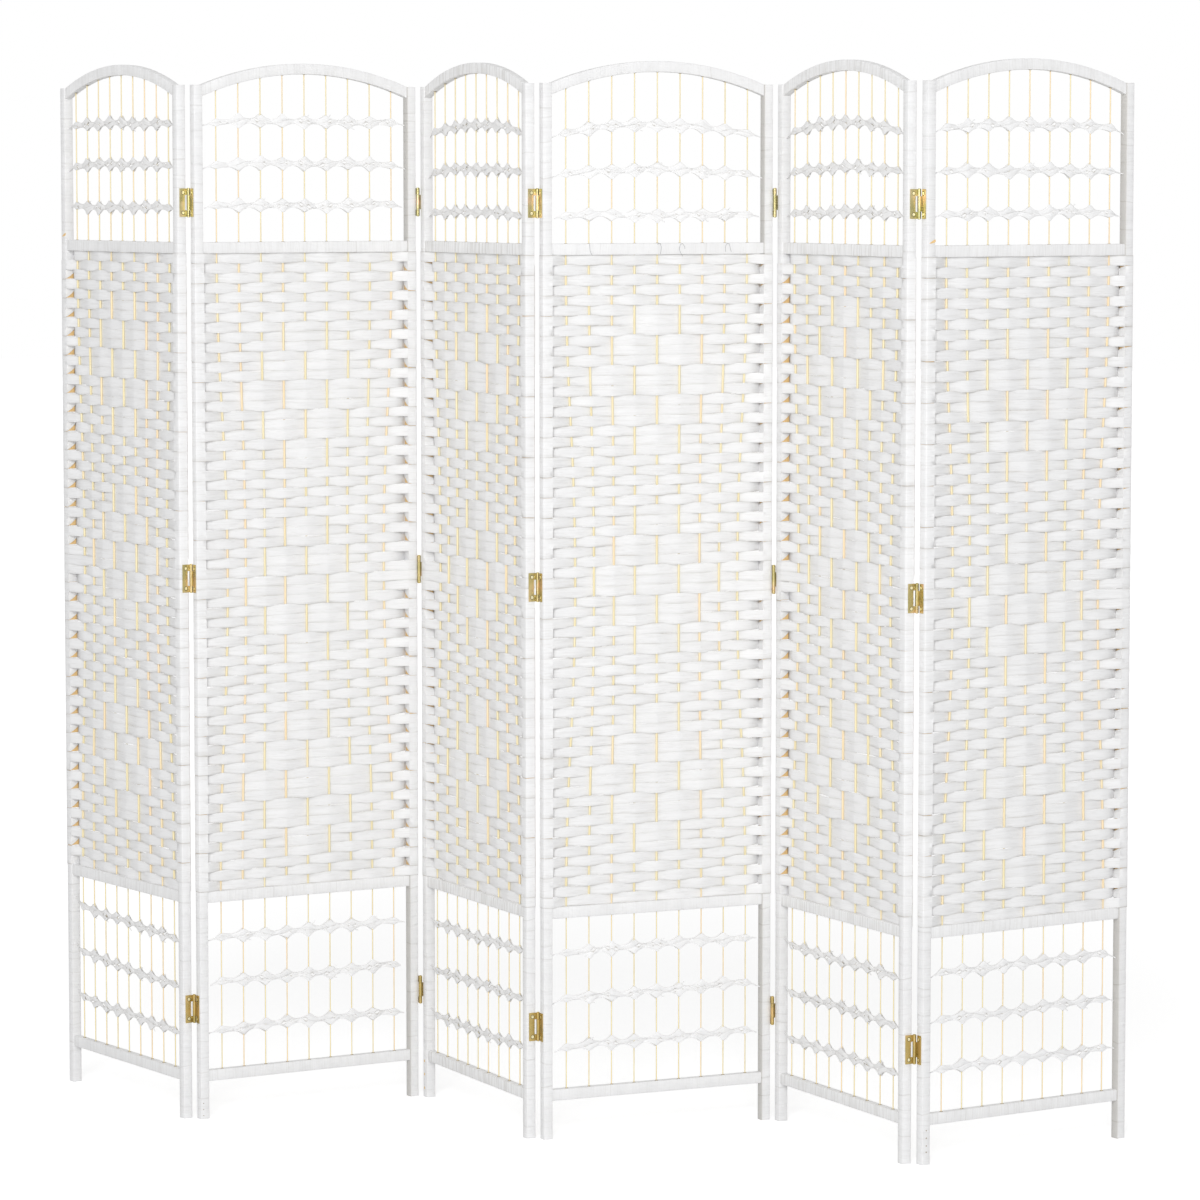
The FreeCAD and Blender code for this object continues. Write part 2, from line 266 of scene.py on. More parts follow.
# The photograph's camera, as fitted to the feet and the crowns of the panels
CAMERA_PLACE = (2.1547, -7.3841, 1.5214)
CAMERA_YAW = 15.773
CAMERA_TILT = 5.017
CAMERA_FOCAL_PIXELS = 4838.1
PHOTO_WIDTH = 1200
SENSOR_WIDTH = 36.0


def clusters(values, gap=CLUSTER_GAP):
    """Lowest and highest value of each group of values that lie closer together than a gap."""
    ordered = np.sort(values)
    groups = np.split(ordered, np.nonzero(np.diff(ordered) > gap)[0] + 1)
    return [(group[0], group[-1]) for group in groups if len(group)]


class Panel:
    """One panel's frame and the sizes of its parts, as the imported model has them."""

    def __init__(self, number, materials):
        self.number = number
        self.materials = materials
        self.body = f"panel_{number}"
        feet = {mount["name"]: np.array(mount["pos_m"]) for mount in frame["record"]["mounts"]}
        left = feet[f"foot_{number}_left"]
        right = feet[f"foot_{number}_right"]
        across = (right - left) / np.linalg.norm(right - left)
        self.origin = (left + right) / 2
        self.axes = np.array([across, [-across[1], across[0], 0.0], [0.0, 0.0, 1.0]])
        self.random = np.random.default_rng(number)
        stile = self.points("left_stile")
        self.outer = -stile[:, 0].min()
        self.inner = -stile[:, 0].max()
        self.half_depth = stile[:, 1].max()
        self.stile_top = stile[:, 2].max()
        rails = self.points("cross_rails")
        self.rails = clusters(rails[:, 2])
        self.rail_half_depth = rails[:, 1].max()
        self.crown = self.points("top_arch")[:, 2].max()
        rods = self.points("warp_rods")
        in_lower_light = rods[rods[:, 2] < self.rails[1][0]]
        self.rods = [(low + high) / 2 for low, high in clusters(in_lower_light[:, 0])]
        self.rod_radius = rods[:, 1].max()
        self.rod_bottom = rods[:, 2].min()
        mat = self.points("woven_mat")
        self.mat_bottom = mat[:, 2].min()
        self.mat_top = mat[:, 2].max()
        self.strip_reach = self.rod_radius * ROD_IN_MAT + STRIP_THICKNESS / 2 + STRIP_LIFT
        self.pitch = (self.mat_top - self.mat_bottom) / ROW_COUNT
        self.middle_hinge = np.mean(clusters(self.points("hinge_leaves")[:, 2], HINGE_GAP)[1])
        self.bands = [(low + high) / 2 for low, high in clusters(self.points("twist_bands")[:, 2])]
        rise = self.crown - self.stile_top
        self.arch_radius = (self.inner ** 2 + rise ** 2) / (2 * rise)
        self.arch_centre = self.crown - self.arch_radius

    def points(self, kind):
        """Vertices of one of the panel's CAD nodes, in the panel's frame."""
        mesh = frame["nodes"][f"{kind}_{self.number}"].data
        flat = np.zeros(len(mesh.vertices) * 3)
        mesh.vertices.foreach_get("co", flat)
        return (flat.reshape(-1, 3) - self.origin) @ self.axes.T

    def to_world(self, points):
        return points @ self.axes + self.origin

    def arch_underside(self, x):
        """Height of the arch's lower face at a place across the panel."""
        return self.arch_centre + math.sqrt((self.arch_radius - ARCH_DEPTH) ** 2 - x ** 2)

    def row_height(self, row):
        """Height of the middle of a row of the mat, counted from 1 at the top."""
        return self.mat_top - (row - 0.5) * self.pitch

    def rod_place(self, x, heights):
        """Where a rod stands across the panel: drawn inward along the mat, by arcs of one radius."""
        share = x / self.rods[-1]
        up = np.clip((np.asarray(heights) - self.mat_bottom) / (self.mat_top - self.mat_bottom), 0, 1)
        near = np.minimum(up, 1 - up)
        drawn = np.where(near < 0.25, 8 * near ** 2, 1 - 8 * (0.5 - near) ** 2)
        return x - ROD_BOW * share * abs(share) * drawn


def in_scene(name, data):
    """New object in the scene, for a mesh, a lamp or a camera."""
    item = bpy.data.objects.new(name, data)
    bpy.context.scene.collection.objects.link(item)
    return item


def joined(x, y, z):
    """Points from their coordinates, which are arrays or numbers."""
    return np.stack(np.broadcast_arrays(x, y, z), axis=-1)


class Pile:
    """Closed tubes gathered into one mesh, with what the materials need to know at each point."""

    def __init__(self):
        self.points = []
        self.faces = []
        self.fibre = []
        self.tone = []
        # How much painted shade each point gets: dark lines at edges, seams and rims, and greyed faces
        self.painted_shade = []
        self.count = 0

    def tube(self, loops, along, across, tone, painted_shade=0.0, wound=False):
        """Adds a capped tube through loops: an array of stations, points round each and coordinates.

        Its fibres run along it, or round it where it is wound.
        """
        stations, around, _ = loops.shape
        index = self.count + np.arange(stations * around).reshape(stations, around)
        after = np.roll(index, -1, axis=1)
        quads = np.stack([index[:-1], after[:-1], after[1:], index[1:]], axis=-1).reshape(-1, 4)
        corners = loops.reshape(-1, 3)[quads - self.count]
        middle = loops.mean(axis=(0, 1))
        turn = np.cross(corners[:, 2] - corners[:, 0], corners[:, 3] - corners[:, 1])
        inside_out = np.einsum("ij,ij->", turn, corners.mean(axis=1) - middle) < 0
        faces = quads.tolist() + [index[0][::-1].tolist(), index[-1].tolist()]
        self.faces += [face[::-1] for face in faces] if inside_out else faces
        self.points.append(loops.reshape(-1, 3))
        along = np.reshape(along, (-1, 1))
        lengthwise, crosswise = (across, along) if wound else (along, across)
        self.fibre.append(joined(lengthwise, crosswise, self.count * FIBRE_STEP).reshape(-1, 3))
        self.tone.append(np.broadcast_to(np.reshape(tone, (-1, 1)), (stations, around)).ravel())
        self.painted_shade.append(np.broadcast_to(painted_shade, (stations, around)).ravel())
        self.count += stations * around

    def build(self, name, panel, look, replaced=(), sharp=SHARP):
        """Makes the mesh, sets it in the screen, and lets it ride on its panel."""
        name = f"{name}_{panel.number}"
        mesh = bpy.data.meshes.new(name)
        mesh.from_pydata(panel.to_world(np.concatenate(self.points)).tolist(), [], self.faces)
        fields = {"fibre": self.fibre, "tone": self.tone, "painted_shade": self.painted_shade}
        for field, values in fields.items():
            kind, key = ("FLOAT_VECTOR", "vector") if field == "fibre" else ("FLOAT", "value")
            values = np.concatenate(values).astype(np.float32).ravel()
            mesh.attributes.new(field, kind, "POINT").data.foreach_set(key, values)
        mesh.polygons.foreach_set("use_smooth", np.ones(len(mesh.polygons), bool))
        mesh.set_sharp_from_angle(angle=math.radians(sharp))
        mesh.materials.append(panel.materials[look])
        piece = in_scene(name, mesh)
        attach(piece, panel.body)
        if replaced:
            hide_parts(*[f"{kind}_{panel.number}" for kind in replaced])


def waves(random, places, length, amount):
    """Smooth uneven line: a few sines of about one wavelength, with random phases."""
    total = np.zeros(len(places))
    for share in (0.6, 1.0, 1.7):
        total += np.sin(2 * math.pi * places / (length * share) + random.uniform(0, 2 * math.pi))
    return total * amount / 2


def smooth(t):
    """Smooth step from 0 to 1."""
    t = np.clip(t, 0, 1)
    return t * t * (3 - 2 * t)


def bent(share, bend):
    """Way from 0 to 1 at a share of it, smooth at both ends as far as the bend says."""
    return bend * float(smooth(share)) + (1 - bend) * share


def unit(vectors):
    """Vectors of length 1 in the same directions."""
    return vectors / np.linalg.norm(vectors, axis=1)[:, None]


def rounded_rectangle(half_a, half_b, corner):
    """Points round a bar's section, with three points at each corner and one on each side."""
    points = []
    for quarter in range(4):
        sign_a = 1 if quarter in (0, 3) else -1
        sign_b = 1 if quarter in (0, 1) else -1
        for step in (0.0, 0.5, 1.0):
            angle = math.pi / 2 * (quarter + step)
            a = sign_a * (half_a - corner) + corner * math.cos(angle)
            b = sign_b * (half_b - corner) + corner * math.sin(angle)
            points.append((a, b))
        middle = math.pi / 2 * (quarter + 1)
        points.append((half_a * round(math.cos(middle)), half_b * round(math.sin(middle))))
    return np.array(points)


def run_length(points):
    """Length along a line of points, up to each of them."""
    steps = np.linalg.norm(np.diff(points, axis=0), axis=1)
    return np.concatenate([[0.0], np.cumsum(steps)])


def wrapped_bar(pile, random, place, ends, halves, turns, shaded_side=0):
    """Bar wound with paper strip, each turn on the edge of the one before, and painted shade on one side if
    asked.
    """
    start, end = ends
    half_a, half_b = halves
    section = rounded_rectangle(half_a - WRAP_STEP, half_b - WRAP_STEP, BAR_CORNER)
    outward = unit(section)
    seams = [start]
    while seams[-1] < end:
        seams.append(seams[-1] + random.uniform(*turns))
    seams = seams[:-2] + [end] if len(seams) > 2 else [start, end]
    loops, rows = [], []
    tilt = np.zeros(2)
    for low, high in zip(seams[:-1], seams[1:]):
        next_tilt = random.normal(0, WRAP_LEAN, 2) if high < end else np.zeros(2)
        tone = random.uniform(*WRAP_TONES)
        # Each seam is darkened, partly as a dark joint and partly as painted shade of its step
        mark = random.uniform(0, 1) ** 2
        stations = [(low, 1.0, SEAM_JOINT_AND_SHADE * mark)]
        plain = np.arange(low + WRAP_LIP, high - 6 * WRAP_LIP, WRAP_STATION)
        stations += [(spot, 1.0, 0.0) for spot in plain]
        stations += [(high - 4 * WRAP_LIP, WRAP_SLOPE, 0.0), (high - WRAP_LIP / 2, 0.0, mark)]
        for spot, grow, painted_shade in stations:
            share = (spot - low) / (high - low)
            lean = section @ (tilt * (1 - share) + next_tilt * share)
            grown = section + outward * WRAP_STEP * grow
            loops.append([place(spot + shift, a, b) for shift, (a, b) in zip(lean, grown)])
            rows.append((spot, tone, painted_shade))
        tilt = next_tilt
    along, tones, creases = np.array(rows).T
    # Painted shade on the side that faces inward, fading out round its corners
    corners_in = (half_a - shaded_side * section[:, 0]) / BAR_CORNER
    shade_grey = INNER_FACE_SHADE * np.clip(SHADE_CORNERS - corners_in, 0, 1)
    pile.tube(np.array(loops), along, run_length(section), tones, creases[:, None] + shade_grey, wound=True)


def stiles(panel):
    """The two stiles: wound with paper where the mat leaves them free, and bare wood under its strips."""
    middle = (panel.outer + panel.inner) / 2
    halves = np.array([(panel.outer - panel.inner) / 2, panel.half_depth])
    foot_zone = (0.0, panel.mat_bottom + panel.pitch)
    hinge_zone = (panel.middle_hinge - 2 * panel.pitch, panel.middle_hinge + 2 * panel.pitch)
    top_zone = (panel.mat_top - panel.pitch, panel.stile_top)
    for side, kind in ((-1, "left_stile"), (1, "right_stile")):
        def upright(s, a, b):
            return (side * middle + a, b, s)

        pile = Pile()
        for zone in (foot_zone, hinge_zone, top_zone):
            # Painted shade on the inner faces of the right stiles below and above the mat, not round the
            # middle hinge
            shaded_side = -1 if kind == "right_stile" and zone != hinge_zone else 0
            wrapped_bar(pile, panel.random, upright, zone, halves, STILE_TURNS, shaded_side)
        pile.build(f"wrapped_{kind}", panel, "wrap", [kind], SHARP_BAR)
        core = Pile()
        section = rounded_rectangle(*(halves - BARE_INSET), BAR_CORNER)
        heights = np.linspace(panel.mat_bottom, panel.mat_top, BARE_STATIONS)
        loops = np.array([[upright(s, a, b) for a, b in section] for s in heights])
        core.tube(loops, heights, run_length(section), MIDDLE_TONE)
        core.build(f"bare_{kind}", panel, "wood")


def rails_and_arch(panel):
    """The three rails and the arch, wound with white paper strip."""
    look = f"rail_{panel.number}"
    ends = (-panel.inner, panel.inner)
    rails = Pile()
    for low, high in panel.rails:
        def level(s, a, b):
            return (s, b, (low + high) / 2 + a)

        halves = ((high - low) / 2, panel.rail_half_depth)
        wrapped_bar(rails, panel.random, level, ends, halves, RAIL_TURNS)
    rails.build("wrapped_rails", panel, look, ["cross_rails"], SHARP_BAR)
    arch = Pile()

    def bowed(s, a, b):
        radius = panel.arch_radius - ARCH_DEPTH / 2 + a
        return (s, b, panel.arch_centre + math.sqrt(radius ** 2 - s ** 2))

    halves = (ARCH_DEPTH / 2, panel.rail_half_depth)
    wrapped_bar(arch, panel.random, bowed, ends, halves, RAIL_TURNS)
    arch.build("wrapped_arch", panel, look, ["top_arch"], SHARP_BAR)


def circle(sides):
    """Angles of points evenly round a circle."""
    return np.arange(sides) * 2 * math.pi / sides


def rods(panel):
    """Split cane rods, a little uneven along their length."""
    random = panel.random
    pile = Pile()
    angles = circle(ROD_SIDES)
    for x in panel.rods:
        heights = np.linspace(panel.rod_bottom, panel.arch_underside(x) + ROD_SEATED, ROD_STATIONS)
        above_bottom = smooth((heights - panel.mat_bottom) / ROD_TAPER)
        inside = above_bottom * smooth((panel.mat_top - heights) / ROD_TAPER)
        share = ROD_IN_LIGHT + (ROD_IN_MAT - ROD_IN_LIGHT) * inside + waves(random, heights, *ROD_WAVE)
        radius = panel.rod_radius * share[:, None]
        across = panel.rod_place(x, heights)[:, None] + radius * np.cos(angles)
        depth = radius * np.sin(angles) * ROD_DEPTH
        loops = joined(across, depth, heights[:, None])
        tone = random.uniform(0, 1) + waves(random, heights, *CANE_WAVE)
        pile.tube(loops, heights, angles * panel.rod_radius, tone)
    pile.build("cane_rods", panel, "cane", ["warp_rods"])


def rod_seats(panel):
    """Dark rims of the holes that the rods stand in."""
    pile = Pile()
    angles = circle(ROD_SIDES)
    straight = SEAT_HALF_HEIGHT - SEAT_BEVEL
    steps = np.array([[-SEAT_HALF_HEIGHT], [-straight], [straight], [SEAT_HALF_HEIGHT]])
    widths = panel.rod_radius + SEAT_WIDTH * np.array([[0.5], [1.0], [1.0], [0.5]])
    for x in panel.rods:
        for seat in (panel.arch_underside(x), panel.rails[2][1], panel.rails[1][0], panel.rails[0][1]):
            loops = joined(x + widths * np.cos(angles), widths * np.sin(angles), seat + steps)
            pile.tube(loops, seat + steps[:, 0], angles * panel.rod_radius, LOW_TONE)
    pile.build("rod_seats", panel, "seat")


def rod_shows(panel, row, column):
    """Whether a rod lies in front of the strip at a row of the mat, both counted from 1."""
    into = row - PLAIN_ROWS[panel.number - 1] - 1
    band = into % DIAMOND_REPEAT // DIAMOND_BAND
    if 0 <= into < DIAMOND_REPEAT * DIAMOND_COUNT and band < len(DIAMOND_SHOWN):
        shown = DIAMOND_SHOWN[band]
        if min(shown) <= column <= max(shown):
            return column in shown
    return (into + column) % 2 == 0


def before_stile(panel, row, end):
    """Whether a row's strip passes before a stile: beside a rod that shows, or the middle hinge."""
    if abs(panel.row_height(row) - panel.middle_hinge) < panel.pitch:
        return True
    column = 1 if end < 0 else len(panel.rods)
    return rod_shows(panel, row, column)


def at_stile(values, panel, end):
    """A panel's value at its left stile, for the end -1, or at its right stile, for the end 1."""
    return values[panel.number - 1][max(end, 0)]


def fan(panel, row, end):
    """Which way a row's strip spreads on a stile: 1 for up, -1 for down, or 0 where it doesn't spread."""
    direction = 1 if (panel.number in LEFT_FANS_UP) == (end < 0) else -1
    beside = row - direction
    in_mat = 1 <= beside <= ROW_COUNT
    spreads = in_mat and before_stile(panel, beside, end) != before_stile(panel, row, end)
    return direction if spreads else 0


def strip_end(panel, row, end, spot):
    """Stations of a strip from its last rod to its end on a stile, as strip_line gives them."""
    before = before_stile(panel, row, end)
    direction = fan(panel, row, end)
    side = -1 if before else 1
    face = panel.half_depth + STRIP_THICKNESS / 2
    edge = panel.outer + STRIP_THICKNESS / 2
    slit = at_stile(SLITS, panel, end) * panel.random.uniform(*SLIT_RANGE)
    late = at_stile(LATE_BENDS, panel, end)
    spread = panel.pitch - slit
    outer_spread = panel.pitch - OUTER_SLIT
    stations = []
    for share in END_SHARES:
        bend = bent(share, END_BEND) if before else share ** late
        across = spot[0] + (end * panel.inner - spot[0]) * share
        depth = spot[1] + (side * face - spot[1]) * bend
        near = float(np.interp(share, END_FADE, (1.0, 0.0)))
        stations.append((across, depth, spot[2] * near, spot[3] * near))
    on_stile = [(panel.inner + PAST_EDGE, side * face, spread),
                ((panel.inner + panel.outer) / 2, side * face, (spread + 3 * outer_spread) / 4),
                (edge - CORNER, side * face, outer_spread)]
    if before:
        on_stile.append((edge - CORNER_CUT, CORNER_CUT - face, outer_spread))
        on_stile += [(edge, depth, outer_spread) for depth in (CORNER - face, 0.0, face - CORNER)]
    for across, depth, more in on_stile:
        stations.append((end * across, depth, more * max(direction, 0), more * max(-direction, 0)))
    return stations


def folded_flap(pile, panel, row, end, tone):
    """The spread part of a strip, where it has folded back along the inner face of the stile."""
    direction = fan(panel, row, end)
    if not direction:
        return
    side = -1 if before_stile(panel, row, end) else 1
    kept = at_stile(FLAP_LEFT, panel, end) * panel.random.uniform(*FLAP_RANGE)
    attached = panel.row_height(row) + direction * (0.5 * panel.pitch - FLAP_HELD)
    share = np.linspace(0, 1, FEW)[:, None]
    free = attached + direction * panel.pitch * (1 - (1 - min(1.0, kept)) * share ** FLAP_CURVE)
    loose = np.array([0.0, 1.0, 1.0, 0.0])
    across = end * (panel.inner + FLAP_THICKNESS / 2 * np.array([-1, -1, 1, 1]))
    reach = (panel.half_depth + STRIP_THICKNESS, FLAP_INSET - panel.half_depth)
    depths = side * np.linspace(*reach, FEW)
    loops = joined(across, depths[:, None], np.where(loose, free, attached))
    # Painted shade along the flap's free edge
    pile.tube(loops, np.abs(depths - depths[0]), loose * panel.pitch, tone, loose * EDGE_SHADE)


def strip_line(panel, row):
    """One row's strip, station by station: across, depth, and overlap with the rows above and below."""
    height = panel.row_height(row)
    spots = []
    for column, x in enumerate(panel.rods, start=1):
        shown = rod_shows(panel, row, column)
        over, under = panel.random.uniform(*OVERLAP, 2)
        if shown or row == 1 or not rod_shows(panel, row - 1, column):
            over = 0.0
        if shown or row == ROW_COUNT or not rod_shows(panel, row + 1, column):
            under = 0.0
        depth = panel.strip_reach if shown else -panel.strip_reach
        spots.append((float(panel.rod_place(x, height)), depth, over, under))
    line = strip_end(panel, row, -1, spots[0])[::-1] + spots[:1]
    for before, after in zip(spots[:-1], spots[1:]):
        for share in STRIP_SHARES:
            across = before[0] + (after[0] - before[0]) * share
            depth = before[1] + (after[1] - before[1]) * bent(share, STRIP_BEND)
            nearer, away = (before, share) if share < 0.5 else (after, 1 - share)
            near = float(np.interp(away, OVERLAP_FADE, (1.0, 0.0)))
            line.append((across, depth, nearer[2] * near, nearer[3] * near))
    return np.array(line + strip_end(panel, row, 1, spots[-1]))


def woven_strips(panel):
    """The mat: rows of folded paper strip that pass before and behind the rods and round the stiles."""
    random = panel.random
    pile = Pile()
    flaps = Pile()
    top = len(STRIP_FRONT) - 1
    across = np.array(STRIP_FRONT + STRIP_BACK)
    layer = np.where(np.arange(len(across)) <= top, 1, -1) * STRIP_THICKNESS / 2
    layer[[0, top]] = 0.0
    for row in range(1, ROW_COUNT + 1):
        line = strip_line(panel, row)
        points, over, under = line[:, :2], line[:, 2], line[:, 3]
        tangent = unit(np.gradient(points, axis=0))
        normal = np.stack([tangent[:, 1], -tangent[:, 0]], axis=-1)
        length = run_length(points)
        crown = np.clip(-points[:, 1] / panel.strip_reach, -1, 1) * STRIP_CROWN
        crown[np.abs(points[:, 0]) > panel.inner] = 0.0
        wander = waves(random, length, *STRIP_WANDER)
        slack = np.abs(waves(random, length, *STRIP_SLACK)) * random.uniform(0, 1)
        width = panel.pitch * STRIP_FULLNESS + over + under - slack
        offset = width[:, None] / 2 * across + (over - under)[:, None] / 2
        lift = crown[:, None] * (1 - across ** 2) + layer
        for turns in PLEAT_TURNS:
            phase = random.uniform(0, 2 * math.pi)
            turn = across * turns + phase + waves(random, length, *PLEAT_WAVE)[:, None]
            lift = lift + PLEAT_DEPTH * np.sin(turn)
        around_x = points[:, :1] + normal[:, :1] * lift
        around_y = points[:, 1:] + normal[:, 1:] * lift
        loops = joined(around_x, around_y, panel.row_height(row) + wander[:, None] + offset)
        painted_shade = np.zeros(loops.shape[:2])
        # Painted shade along both edges of the strip, for the shadow where rows overlap, darker in places
        for edge, beside in ((0, 1), (top, top - 1)):
            dark = np.clip(waves(random, length, *EDGE_WAVE), 0, 1)
            painted_shade[:, edge] = EDGE_SHADE * (EDGE_LEAST + EDGE_MORE * dark)
            painted_shade[:, beside] = EDGE_FADE * painted_shade[:, edge]
        # Painted shadow along the mat's top and bottom edges, where the rows meet the rails
        if row == 1:
            painted_shade[:, top] = 1.0
        if row == ROW_COUNT:
            painted_shade[:, 0] = 1.0
        tone = random.uniform(*STRIP_TONES)
        pile.tube(loops, length, across * panel.pitch / 2, tone, painted_shade)
        for end in (-1, 1):
            folded_flap(flaps, panel, row, end, tone)
    pile.build("woven_strips", panel, "paper", ["woven_mat"], SHARP_STRIP)
    # The flaps take the paper that is painted lighter, as painted light in the pockets where they fold
    flaps.build("folded_flaps", panel, "painted_light_flap")


def strand(pile, centre, tilt, width, tone, shade_grey=0.0, shade_rim=None):
    """Thin flat strand along a line, leaning out of the panel's plane by the tilt at each station.

    Painted shade darkens its edges, and all of it by the shade grey; the shade rim gives more painted shade
    on its lower edge and its upper edge at each station.
    """
    front = [(-0.8, 1.0), (0.0, 1.0), (0.8, 1.0)]
    back = [(0.8, -1.0), (0.0, -1.0), (-0.8, -1.0)]
    section = np.array([(-1.0, 0.0), *front, (1.0, 0.0), *back])
    tangent = unit(np.gradient(centre, axis=0))
    flat = unit(joined(-tangent[:, 2], 0.0, tangent[:, 0]))
    out = np.cross(tangent, flat)
    wide = flat * np.cos(tilt)[:, None] + out * np.sin(tilt)[:, None]
    thick = np.cross(tangent, wide)
    bow = STRAND_BOW * (1 - section[:, 0] ** 2)
    half = width[:, None] / 2
    sideways = (half * section[:, 0])[:, :, None]
    outward = (STRAND_THICKNESS / 2 * section[:, 1] + half * bow)[:, :, None]
    loops = centre[:, None, :] + wide[:, None, :] * sideways + thick[:, None, :] * outward
    painted_shade = np.full(loops.shape[:2], shade_grey)
    painted_shade[:, np.abs(section[:, 0]) > 0.9] += BAND_EDGE_SHADE
    if shade_rim is not None:
        painted_shade[:, section[:, 0] < -0.5] += shade_rim[0][:, None]
        painted_shade[:, section[:, 0] > 0.5] += shade_rim[1][:, None]
    pile.tube(loops, run_length(centre), section[:, 0] * BAND_WAIST, tone, painted_shade)


def band_edge(panel, places):
    """Half height of a band along it: least between the rods, with a pointed peak at each rod."""
    height = np.full(len(places), BAND_WAIST)
    for x in panel.rods:
        near = np.clip(1 - np.abs(places - x) / PEAK_REACH, 0, 1)
        peak = BAND_PEAK * panel.random.uniform(*PEAK_RANGE)
        if x in (panel.rods[0], panel.rods[-1]):
            peak *= END_PEAK
        height = np.maximum(height, BAND_WAIST + peak * near ** 2)
    return height


def loose_ends(pile, panel, places, base, reach, shade_grey):
    """Short ends of strip that stand out above and below a band, beside some of its rods."""
    random = panel.random
    share = np.linspace(0, 1, FEW)
    for x in panel.rods[1:-1]:
        for up in (1, -1):
            if random.uniform() > LOOSE_SHARE[panel.number % 2]:
                continue
            start = x + random.uniform(-LOOSE_SHIFT, LOOSE_SHIFT)
            across = start + share * random.uniform(*LOOSE_REACH)
            arc = LOOSE_ARC * np.sin(math.pi * share)
            rise = LOOSE_START + share * random.uniform(*LOOSE_RISE) + arc
            depth = -reach * random.uniform(*LOOSE_DEPTH)
            centre = joined(across, depth, np.interp(across, places, base) + up * rise)
            width = LOOSE_WIDTH * (1 - LOOSE_TAPER * share)
            tilt = np.full(FEW, random.uniform(-LOOSE_TILT, LOOSE_TILT))
            strand(pile, centre, tilt, width, MIDDLE_TONE, shade_grey)


def band_openings(panel, places):
    """Middle and half height of a band's openings, in its front strip and in the one behind.

    They lie above the band's middle between some rods and below it between the others.
    """
    middle, front, behind = np.zeros((3, len(places)))
    for number, (left, right) in enumerate(zip(panel.rods[:-1], panel.rods[1:])):
        share = np.clip((places - left) / (right - left), 0, 1)
        middle += (1 if number % 2 else -1) * OPENING_RISE * np.sin(math.pi * share)
        for spot in OPENING_SPOTS:
            widest = OPENING_HALF * max(0.0, panel.random.uniform(*OPENING_RANGE))
            away = np.abs(share - spot) / OPENING_REACH
            front = np.maximum(front, widest * np.clip(1 - away, 0, 1))
            longer = np.clip(BEHIND_FULL - BEHIND_SLOPE * away, 0, 1)
            behind = np.maximum(behind, BEHIND_WIDER * widest * longer)
    return middle, front, behind


def band_line(panel, height, bow):
    """Places across the panel and heights of a band's middle line, and how full the band is at each."""
    random = panel.random
    low_lift, low_slant, top_lift, top_bow = BAND_LIES[panel.number - 1]
    in_lower_light = height < panel.mat_bottom
    rod_pitch = panel.rods[1] - panel.rods[0]
    start = -panel.inner + TAIL_CLEARANCE + max(0, random.normal(*LEFT_SHORT))
    stop = panel.inner - TAIL_CLEARANCE - max(0, random.normal(*RIGHT_SHORT))
    steps = np.arange(-0.5, len(panel.rods) - 0.5 + 0.5 / BAND_STATIONS, 1 / BAND_STATIONS)
    places = panel.rods[0] + rod_pitch * steps
    inside = places[(places > start + 2 * TAIL_POINT) & (places < stop - 2 * TAIL_POINT)]
    places = np.concatenate([[start, start + TAIL_POINT], inside, [stop - TAIL_POINT, stop]])
    base = height + random.uniform(-BAND_SHIFT, BAND_SHIFT) + waves(random, places, *BAND_WAVE)
    if in_lower_light:
        base = base + low_lift + low_slant / 2 * places / panel.inner
    else:
        base = base + top_lift + top_bow * bow * (BOW_ABOVE - (places / panel.inner) ** 2)
    beyond = np.maximum(0, np.abs(places) - panel.rods[-1])
    turned_up = panel.number % 2 == 1 and in_lower_light
    turn = np.where((places < 0) & turned_up, TAIL_RISE, -TAIL_DROP)
    curve = (beyond / (panel.inner - panel.rods[-1])) ** TAIL_CURVE
    base = base + turn * curve * random.uniform(*TAIL_RANGE)
    return places, base, 1 - TAIL_THINNED * smooth(beyond / TAIL_TAPER)


def twisted_bands(panel):
    """Bands of two twined strips across the open lights, gathered between the rods and spread at them."""
    random = panel.random
    pile = Pile()
    rod_pitch = panel.rods[1] - panel.rods[0]
    reach = panel.rod_radius * BAND_REACH + STRAND_THICKNESS / 2
    # The bands of the odd panels get an even painted shade all over
    shade_grey = BAND_SHADE[panel.number % 2]
    for height, bow in zip(panel.bands, BAND_BOWS):
        places, base, fullness = band_line(panel, height, bow)
        swing = np.cos(math.pi * (places - panel.rods[0]) / rod_pitch)
        middle, front, behind = band_openings(panel, places)
        loose_ends(pile, panel, places, base, reach, shade_grey)
        for side in (1, -1):
            half = np.where(side * swing < 0, front, behind)
            # Painted shade on the rims of the openings, stronger where they open wider
            dark = OPENING_RIM_SHADE * np.clip(2 * half / OPENING_HALF - RIM_START, 0, 1)
            plain = np.zeros(len(places))
            upper = (middle + half - STRAND_OVERLAP, band_edge(panel, places), (dark, plain))
            lower = (-band_edge(panel, places), middle - half + STRAND_OVERLAP, (plain, dark))
            for low, high, shade_rim in (upper, lower):
                centre = joined(places, side * swing * reach, base + (low + high) / 2 * fullness)
                lean = side * STRAND_LEAN * (1 - np.abs(swing))
                tilt = lean + waves(random, places, *LEAN_WAVE)
                width = np.maximum(high - low, 2 * STRAND_OVERLAP) * fullness
                strand(pile, centre, tilt, width, random.uniform(*STRAND_TONES), shade_grey, shade_rim)
    pile.build("twined_bands", panel, "band", ["twist_bands"], SHARP_STRIP)


def thread(pile, line):
    """Thin round thread along a line that lies in a plane of equal depth."""
    angles = circle(FEW)[None, :, None]
    tangent = unit(np.gradient(line, axis=0))
    beside = joined(-tangent[:, 2], 0.0, tangent[:, 0])
    ring = np.cos(angles) * beside[:, None, :] + np.sin(angles) * np.array([0.0, 1.0, 0.0])
    loops = line[:, None, :] + THREAD_RADIUS * ring
    pile.tube(loops, run_length(line), angles.ravel() * THREAD_RADIUS, LOW_TONE)


